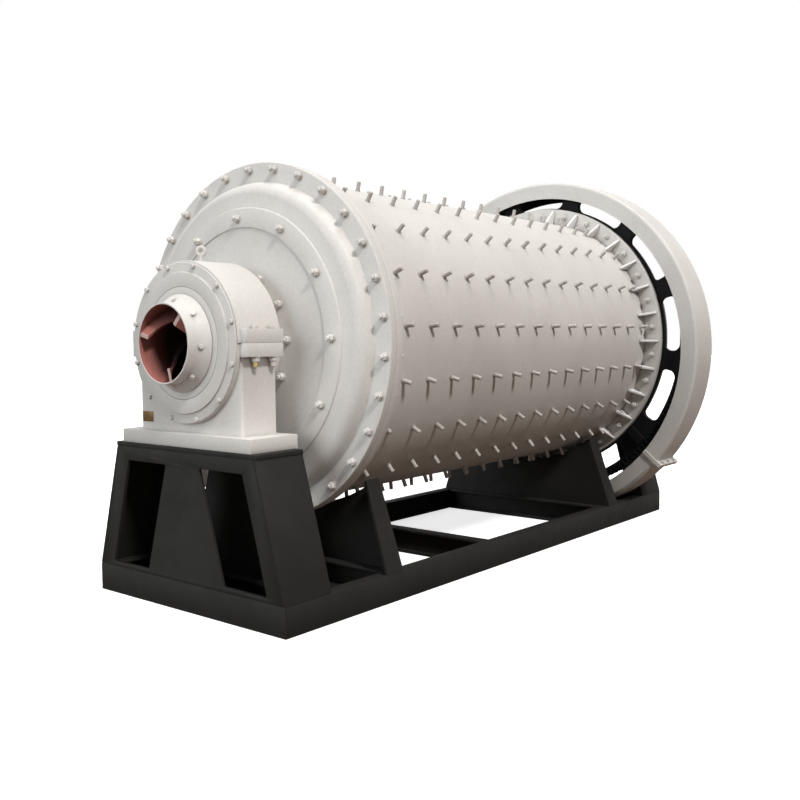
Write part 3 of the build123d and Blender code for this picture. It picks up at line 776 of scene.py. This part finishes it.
# The guard's faces turned towards its core take the gear's black paint.
for node in ("guard_hood", "guard_trough"):
    mesh = repaint(node, mill_grey)
    mesh.materials.append(gear_black)
    for face in mesh.polygons:
        outward = Vector((0, face.center.y, face.center.z - GUARD_HEIGHT))
        to_core = GUARD_CORE - Vector((face.center.x, outward.length))
        facing = Vector((face.normal.x, face.normal.dot(outward.normalized())))
        if facing.dot(to_core.normalized()) > FACING_CORE:
            face.material_index = 1
            blacked += 1
print("greased faces inside the guard:", blacked)

# %% [markdown]
# ## Primed bores
# The feed and discharge tubes are painted outside and only primed inside, so the faces of their bores take
# a second material. The bore is found by its distance from the mill axis. The blades of the spiral are
# primed too, and their ends at the mouth are rubbed pale.

# %% Prime the bores and the spiral
BORE_INSET = 0.0555
BLADE_END = 0.002


def prime_bore(node):
    """Give the faces inside a tube the primer as a second material."""
    mesh = dressed[node].data
    mesh.materials.append(primer_red)
    low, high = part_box(node)
    bore_limit = (high.y - low.y) / 2 - BORE_INSET
    primed = 0
    for face in mesh.polygons:
        corners = [mesh.vertices[index].co for index in face.vertices]
        reach = max(math.hypot(corner.y, corner.z - AXIS_HEIGHT) for corner in corners)
        if reach < bore_limit:
            face.material_index = 1
            primed += 1
    return primed


print("primed faces:", prime_bore("feed_tube"), prime_bore("discharge_tube"))
blades = repaint("feed_spiral", primer_red)
blades.materials.append(primer_worn)
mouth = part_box("feed_spiral")[0].x
for face in blades.polygons:
    if face.center.x < mouth + BLADE_END:
        face.material_index = 1

# %% [markdown]
# ## Fasteners
# A mill is held together by hundreds of bolts. One washer, chamfered hexagon and stud end is modelled
# standing on the ground plane, and copies of it are turned and moved into place. Each copy is spun by a
# random angle, because nobody lines up hexagons when tightening them.

# %% Model a fastener
WASHER_SIDES = 12
WASHER_SHARE = 0.18
WASHER_CHAMFER = 0.001
HEXAGON_CHAMFER = 0.1
TIP_SIDES = 8
TIP_CHAMFER = 0.2


def chamfered_cylinder(sides, radius, base, top, chamfer):
    """Upright prism between two heights with its top edge chamfered."""
    deselect()
    middle = (0, 0, (base + top) / 2)
    bpy.ops.mesh.primitive_cylinder_add(vertices=sides, radius=radius, depth=top - base, location=middle)
    prism = bpy.context.object
    bpy.ops.object.transform_apply(location=True, rotation=True, scale=True)
    bpy.ops.object.mode_set(mode="EDIT")
    shape = bmesh.from_edit_mesh(prism.data)
    for corner in shape.verts:
        corner.select = corner.co.z > top - chamfer / 2
    shape.select_flush(True)
    bmesh.update_edit_mesh(prism.data)
    bpy.ops.mesh.bevel(offset=chamfer, segments=1)
    bpy.ops.object.mode_set(mode="OBJECT")
    return prism


def fastener(name, washer, across, nut, stud, reach):
    """Washer, hexagon and stud end along +Z: three radii, the hexagon's height and the end's reach."""
    plate = WASHER_SHARE * nut
    parts = [
        chamfered_cylinder(WASHER_SIDES, washer, 0, plate, WASHER_CHAMFER),
        chamfered_cylinder(6, across, plate, plate + nut, HEXAGON_CHAMFER * across),
    ]
    if reach > plate + nut:
        parts.append(chamfered_cylinder(TIP_SIDES, stud, plate + nut / 2, reach, TIP_CHAMFER * stud))
    return join_pieces(parts, name)


# %% Set out copies of a fastener
SPIN_SEED = 20
BOLT_SMOOTH = math.radians(25)
RAY_START = 4

spin_source = random.Random(SPIN_SEED)


def own_piece(piece, material, body):
    """Paint a modelled piece and let it ride on a body."""
    piece.data.materials.clear()
    piece.data.materials.append(material)
    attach(piece, body)


def set_out(master, name, places, material, body):
    """Copy a fastener to every place, join the copies and let them ride on a body."""
    spun = [place @ Matrix.Rotation(spin_source.uniform(0, math.tau), 4, "Z") for place in places]
    group = join_pieces(copies_at(master, name, spun), name)
    activate(group)
    bpy.ops.object.shade_smooth_by_angle(angle=BOLT_SMOOTH)
    own_piece(group, material, body)
    print(name, len(places))


def on_drum(up, x, radius):
    """Frame on the drum at an angle up from the front: local Z points away from the axis."""
    return about_axis(90 - up) @ Matrix.Translation((x, 0, AXIS_HEIGHT + radius))


def on_face(node, up, radius, side):
    """Frame on a turned face, found by a ray along the axis: local Z leaves the face."""
    turn = math.radians(up)
    start = Vector((side * RAY_START, -radius * math.cos(turn), AXIS_HEIGHT + radius * math.sin(turn)))
    place, normal = dressed[node].ray_cast(start, Vector((-side, 0, 0)))[1:3]
    lean = math.asin(math.hypot(normal.y, normal.z))
    facing = Matrix.Rotation(side * (math.pi / 2 - lean), 4, "Y")
    return on_drum(up, place.x, radius) @ facing


def ring_angles(first, count):
    """Angles of a ring of evenly spaced bolts, in degrees."""
    return [first + index * 360 / count for index in range(count)]


# %% [markdown]
# ## Liner studs on the shell
# Twenty rows of studs run along the shell and hold the lifter bars inside. They stand proud all over the
# drum, and they are what the eye notices first. In every fourth row the stud at the feed end is cut short.

# %% Rows of liner studs
ROW_COUNT = 20
ROW_FIRST = 5
STUDS_IN_ROW = 14
FIRST_STUD = -1.397
STUD_STEP = 0.2186
STUD_RADIUS = 0.013
STUD_LENGTH = 0.058
SHORT_STUD_LENGTH = 0.026
SHORT_STUD_ROW = 2
SHORT_STUD_EVERY = 4
ROD_SIDES = 10
ROD_BASE = 0.001
ROD_CHAMFER = 0.25
WELD_WIDTH = 1.35
WELD_HEIGHT = 0.006
WELD_CHAMFER = 0.003
GUSSET_CLEAR = 2.5
GUSSET_SHIFT = 0.045


def liner_stud(name, length):
    """Threaded stud end in a low collar of weld."""
    collar = chamfered_cylinder(ROD_SIDES, WELD_WIDTH * STUD_RADIUS, 0, WELD_HEIGHT, WELD_CHAMFER)
    rod = chamfered_cylinder(ROD_SIDES, STUD_RADIUS, ROD_BASE, length, ROD_CHAMFER * STUD_RADIUS)
    return join_pieces([collar, rod], name)


long_stud = liner_stud("long_stud", STUD_LENGTH)
short_stud = liner_stud("short_stud", SHORT_STUD_LENGTH)
gusset_step = 360 / GUSSET_COUNT
long_places = []
short_places = []
for row, up in enumerate(ring_angles(ROW_FIRST, ROW_COUNT)):
    off_gusset = (180 - GUSSET_PHASE - up) % gusset_step
    near_gusset = min(off_gusset, gusset_step - off_gusset) < GUSSET_CLEAR
    for index in range(STUDS_IN_ROW):
        x = FIRST_STUD + index * STUD_STEP
        if near_gusset and index == STUDS_IN_ROW - 1:
            x -= GUSSET_SHIFT
        is_short = index == 0 and row % SHORT_STUD_EVERY == SHORT_STUD_ROW
        (short_places if is_short else long_places).append(on_drum(up, x, SHELL_RADIUS))
set_out(long_stud, "liner_studs", long_places, stud_grey, "drum")
set_out(short_stud, "short_liner_studs", short_places, stud_grey, "drum")
bpy.data.objects.remove(long_stud)
bpy.data.objects.remove(short_stud)

# %% [markdown]
# ## Flange bolts
# Thirty bolts clamp each head to its shell flange. They pass right through, so a hexagon shows on the head
# side and a nut with a stud end on the shell side.

# %% Bolts through both flanges
FLANGE_BOLTS = 30
FEED_BOLT_FIRST = 7.4
FEED_BOLT_RADIUS = 0.978
DRIVE_BOLT_FIRST = 4.6
DRIVE_BOLT_RADIUS = 1.000

flange_bolt = fastener("flange_bolt", washer=0.025, across=0.022, nut=0.024, stud=0.0125, reach=0.042)
to_feed = Matrix.Rotation(-math.pi / 2, 4, "Y")
to_drive = Matrix.Rotation(math.pi / 2, 4, "Y")
places = []
for up in ring_angles(FEED_BOLT_FIRST, FLANGE_BOLTS):
    places.append(on_face("feed_head", up, FEED_BOLT_RADIUS, -1))
    places.append(on_drum(up, FLANGE_BACK, FEED_BOLT_RADIUS) @ to_drive)
for up in ring_angles(DRIVE_BOLT_FIRST, FLANGE_BOLTS):
    places.append(on_face("drive_head", up, DRIVE_BOLT_RADIUS, 1))
    places.append(on_drum(up, drive_back, DRIVE_BOLT_RADIUS) @ to_feed)
set_out(flange_bolt, "flange_bolts", places, bolt_grey, "drum")

# %% [markdown]
# ## Head bolts
# Two rings of bolts hold the liner plates inside each head, one on the raised band and one close to the
# hub. The dish leans, so each bolt is turned to stand square on it.

# %% Rings of head bolts
HEAD_RINGS = ((0.694, 1.6), (0.392, 1.7))
RING_COUNT = 12

places = []
for node, side in (("feed_head", -1), ("drive_head", 1)):
    for radius, first in HEAD_RINGS:
        places += [on_face(node, up, radius, side) for up in ring_angles(first, RING_COUNT)]
set_out(flange_bolt, "head_bolts", places, bolt_grey, "drum")
bpy.data.objects.remove(flange_bolt)

# %% [markdown]
# ## Small bolts on the tube collars and bearing covers
# These carry little load and are half the size. The collars turn with the drum, the covers stand still, so
# the two sets ride on different bodies.

# %% Collar and cover bolts
COLLAR_BOLTS = 8
COLLAR_FIRST = -4
COLLAR_RADIUS = 0.2285
COVER_BOLTS = 12
COVER_FIRST = 15
COVER_RADIUS = 0.416

small_bolt = fastener("small_bolt", washer=0.015, across=0.0135, nut=0.012, stud=0.007, reach=0)
collar_places = []
cover_places = []
for end, tube, side in (("feed", "feed_tube", -1), ("drive", "discharge_tube", 1)):
    for up in ring_angles(COLLAR_FIRST, COLLAR_BOLTS):
        collar_places.append(on_face(tube, up, COLLAR_RADIUS, side))
    for up in ring_angles(COVER_FIRST, COVER_BOLTS):
        cover_places.append(on_face(f"{end}_bearing_cover", up, COVER_RADIUS, side))
set_out(small_bolt, "collar_bolts", collar_places, bolt_grey, "drum")
set_out(small_bolt, "cover_bolts", cover_places, bolt_grey, "frame")

# %% [markdown]
# ## Bearing bolts
# The cap is drawn down on the pedestal by two bolts through each lug. Their heads sit on the cap's lug and
# the nuts hang below the pedestal's. The end of the outer bolt is plated yellow, the other one is painted.

# %% Bolts through the lugs
LUG_BOLT_X = (1.914, 2.034)
LUG_BOLT_Y = 0.457
LUG_HALF = 0.072
LUG_END = (0.020, 0.052)
LUG_END_RADIUS = 0.0155
LUG_END_CHAMFER = 0.003

cap_bolt = fastener("cap_bolt", washer=0.019, across=0.017, nut=0.015, stud=0.010, reach=0)
lug_nut = fastener("lug_nut", washer=0.026, across=0.023, nut=0.020, stud=0.015, reach=0)
lug_end = chamfered_cylinder(ROD_SIDES, LUG_END_RADIUS, *LUG_END, LUG_END_CHAMFER)
heads = []
nuts = []
ends = {x: [] for x in LUG_BOLT_X}
for side in (-1, 1):
    for x in LUG_BOLT_X:
        for y in (-LUG_BOLT_Y, LUG_BOLT_Y):
            heads.append(Matrix.Translation((side * x, y, AXIS_HEIGHT + LUG_HALF)))
            hanging = Matrix.Translation((side * x, y, AXIS_HEIGHT - LUG_HALF))
            nuts.append(hanging @ Matrix.Rotation(math.pi, 4, "X"))
            ends[x].append(nuts[-1])
set_out(cap_bolt, "cap_bolts", heads, bolt_grey, "frame")
set_out(lug_nut, "lug_nuts", nuts, bolt_grey, "frame")
set_out(lug_end, "plated_bolt_ends", ends[LUG_BOLT_X[1]], zinc, "frame")
set_out(lug_end, "painted_bolt_ends", ends[LUG_BOLT_X[0]], bolt_grey, "frame")
for master in (cap_bolt, lug_nut, lug_end):
    bpy.data.objects.remove(master)

# %% [markdown]
# ## Guard bolts
# The hood and the trough of the gear guard meet at a pair of ears on each side, drawn together by a row of
# bolts.

# %% Bolts through the guard's ears
EAR_ANGLES = (-40, 220)
EAR_THICKNESS = 0.014
EAR_BOLT_OUT = 0.023
EAR_BOLT_RADIUS = GUARD_RADIUS + EAR_BOLT_OUT
EAR_BOLT_INSET = 0.06
EAR_BOLT_X = (hood_low.x + EAR_BOLT_INSET, GUARD_MIDDLE, hood_high.x - EAR_BOLT_INSET)

places = []
for up in EAR_ANGLES:
    on_guard = Matrix.Translation((0, 0, GUARD_HEIGHT)) @ Matrix.Rotation(math.radians(90 - up), 4, "X")
    for x in EAR_BOLT_X:
        for way in (-1, 1):
            seat = Matrix.Translation((x, way * EAR_THICKNESS, EAR_BOLT_RADIUS))
            places.append(on_guard @ seat @ Matrix.Rotation(-way * math.pi / 2, 4, "X"))
set_out(small_bolt, "guard_bolts", places, bolt_grey, "frame")
bpy.data.objects.remove(small_bolt)

# %% [markdown]
# ## Eyebolts
# A lifting eye stands on top of each bearing cap. A torus makes the ring, and a short turned neck joins it
# to the casting.

# %% Lifting eyes on the caps
EYE_X = 2.0
EYE_RING = 0.021
EYE_BAR = 0.0095
EYE_NECK = 0.036
EYE_NECK_RADIUS = 0.010
EYE_NECK_BASE = 0.008
EYE_FOOT_RADIUS = 0.019
EYE_FOOT_HEIGHT = 0.009
EYE_CHAMFER = 0.002
EYE_SINK = 0.001
EYE_TURN = math.radians(-50)
EYE_SMOOTH = math.radians(35)

deselect()
bpy.ops.mesh.primitive_torus_add(
    major_segments=32,
    minor_segments=10,
    major_radius=EYE_RING,
    minor_radius=EYE_BAR,
    location=(0, 0, EYE_NECK + EYE_RING),
    rotation=(math.pi / 2, 0, EYE_TURN),
)
ring = bpy.context.object
bpy.ops.object.transform_apply(location=True, rotation=True, scale=True)
foot = chamfered_cylinder(16, EYE_FOOT_RADIUS, 0, EYE_FOOT_HEIGHT, EYE_CHAMFER)
neck = chamfered_cylinder(12, EYE_NECK_RADIUS, EYE_NECK_BASE, EYE_NECK + EYE_BAR, EYE_CHAMFER)
eye = join_pieces([foot, neck, ring], "eye")
eye_places = [Matrix.Translation((side * EYE_X, 0, CAP_TOP - EYE_SINK)) for side in (-1, 1)]
lifting_eyes = join_pieces(copies_at(eye, "lifting_eyes", eye_places), "lifting_eyes")
bpy.data.objects.remove(eye)
activate(lifting_eyes)
bpy.ops.object.shade_smooth_by_angle(angle=EYE_SMOOTH)
own_piece(lifting_eyes, bolt_grey, "frame")
print("lifting eyes", len(eye_places))

# %% [markdown]
# ## Bare plate
# A small brass plate is riveted to the foot of the feed bearing. It is left blank. A ray along the axis
# finds the face that it lies on.

# %% Brass plate with rivets
PLATE_Y = (0.318, 0.412)
PLATE_Z = (1.013, 1.070)
PLATE_THICKNESS = 0.003
PLATE_ROUNDING = 0.0008
RIVET_INSET = 0.007
RIVET_RADIUS = 0.0035
RIVET_HEIGHT = 0.002
RIVET_CHAMFER = 0.001

plate_y = sum(PLATE_Y) / 2
plate_z = sum(PLATE_Z) / 2
ray_start = Vector((-RAY_START, plate_y, plate_z))
seat = dressed["feed_bearing_pedestal"].ray_cast(ray_start, Vector((1, 0, 0)))[1]
plate_face = seat.x - PLATE_THICKNESS
plate = add_block(
    middle=(seat.x - PLATE_THICKNESS / 2, plate_y, plate_z),
    size=(PLATE_THICKNESS, PLATE_Y[1] - PLATE_Y[0], PLATE_Z[1] - PLATE_Z[0]),
)
round_edges(plate, PLATE_ROUNDING)
rivet = chamfered_cylinder(ROD_SIDES, RIVET_RADIUS, 0, RIVET_HEIGHT, RIVET_CHAMFER)
rivet_places = []
for y in (PLATE_Y[0] + RIVET_INSET, PLATE_Y[1] - RIVET_INSET):
    for z in (PLATE_Z[0] + RIVET_INSET, PLATE_Z[1] - RIVET_INSET):
        rivet_places.append(Matrix.Translation((plate_face, y, z)) @ to_feed)
plate = join_pieces([plate] + copies_at(rivet, "rivet", rivet_places), "bare_plate")
bpy.data.objects.remove(rivet)
own_piece(plate, brass, "frame")
print("plate on", round(seat.x, 4), "with", len(rivet_places), "rivets")
